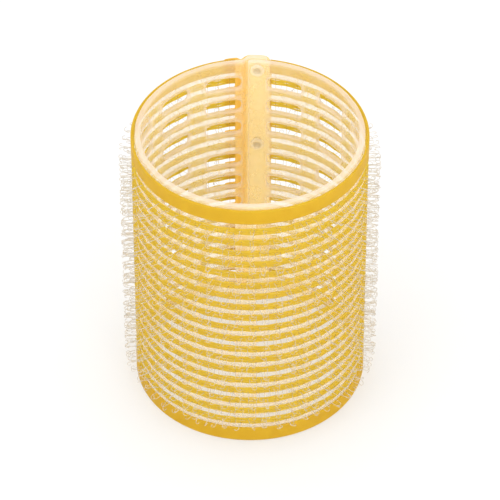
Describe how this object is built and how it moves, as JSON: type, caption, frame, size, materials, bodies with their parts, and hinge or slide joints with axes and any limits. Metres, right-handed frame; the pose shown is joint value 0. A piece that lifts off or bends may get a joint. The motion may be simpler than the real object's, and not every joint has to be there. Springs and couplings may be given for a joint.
{
  "type": "self-grip hair roller",
  "caption": "Hollow self-grip hair roller: a rolled plastic lattice tube in a yellow sleeve with rows of tiny hooks.",
  "frame": {"origin": "centre of the bottom face, on the surface that the roller stands on", "axes": "+Z along the tube, from the bottom rim to the top rim; the lap of the core lies towards +Y"},
  "size_m": [0.0503, 0.0502, 0.0605],
  "materials": {
    "clear_core": "natural milky polypropylene, translucent, soft gloss",
    "weft_thread": "clear nylon thread",
    "yellow_yarn": "yellow synthetic yarn, tightly woven",
    "fused_cloth": "yellow cloth fused flat, slightly glossy",
    "hook_nylon": "clear stiff nylon monofilament"
  },
  "bodies": {
    "root": {"core_lattice": "clear_core", "weft_threads": "weft_thread", "bottom_hem": "fused_cloth", "top_hem": "fused_cloth", "fused_lap": "fused_cloth", "yarn_row_01": "yellow_yarn", "hook_row_01": "hook_nylon", "yarn_row_02": "yellow_yarn", "hook_row_02": "hook_nylon", "yarn_row_03": "yellow_yarn", "hook_row_03": "hook_nylon", "yarn_row_04": "yellow_yarn", "hook_row_04": "hook_nylon", "yarn_row_05": "yellow_yarn", "hook_row_05": "hook_nylon", "yarn_row_06": "yellow_yarn", "hook_row_06": "hook_nylon", "yarn_row_07": "yellow_yarn", "hook_row_07": "hook_nylon", "yarn_row_08": "yellow_yarn", "hook_row_08": "hook_nylon", "yarn_row_09": "yellow_yarn", "hook_row_09": "hook_nylon", "yarn_row_10": "yellow_yarn", "hook_row_10": "hook_nylon", "yarn_row_11": "yellow_yarn", "hook_row_11": "hook_nylon", "yarn_row_12": "yellow_yarn", "hook_row_12": "hook_nylon", "yarn_row_13": "yellow_yarn", "hook_row_13": "hook_nylon", "yarn_row_14": "yellow_yarn", "hook_row_14": "hook_nylon", "yarn_row_15": "yellow_yarn", "hook_row_15": "hook_nylon", "yarn_row_16": "yellow_yarn", "hook_row_16": "hook_nylon", "yarn_row_17": "yellow_yarn", "hook_row_17": "hook_nylon", "yarn_row_18": "yellow_yarn", "hook_row_18": "hook_nylon", "yarn_row_19": "yellow_yarn", "hook_row_19": "hook_nylon"}
  },
  "joints": []
}
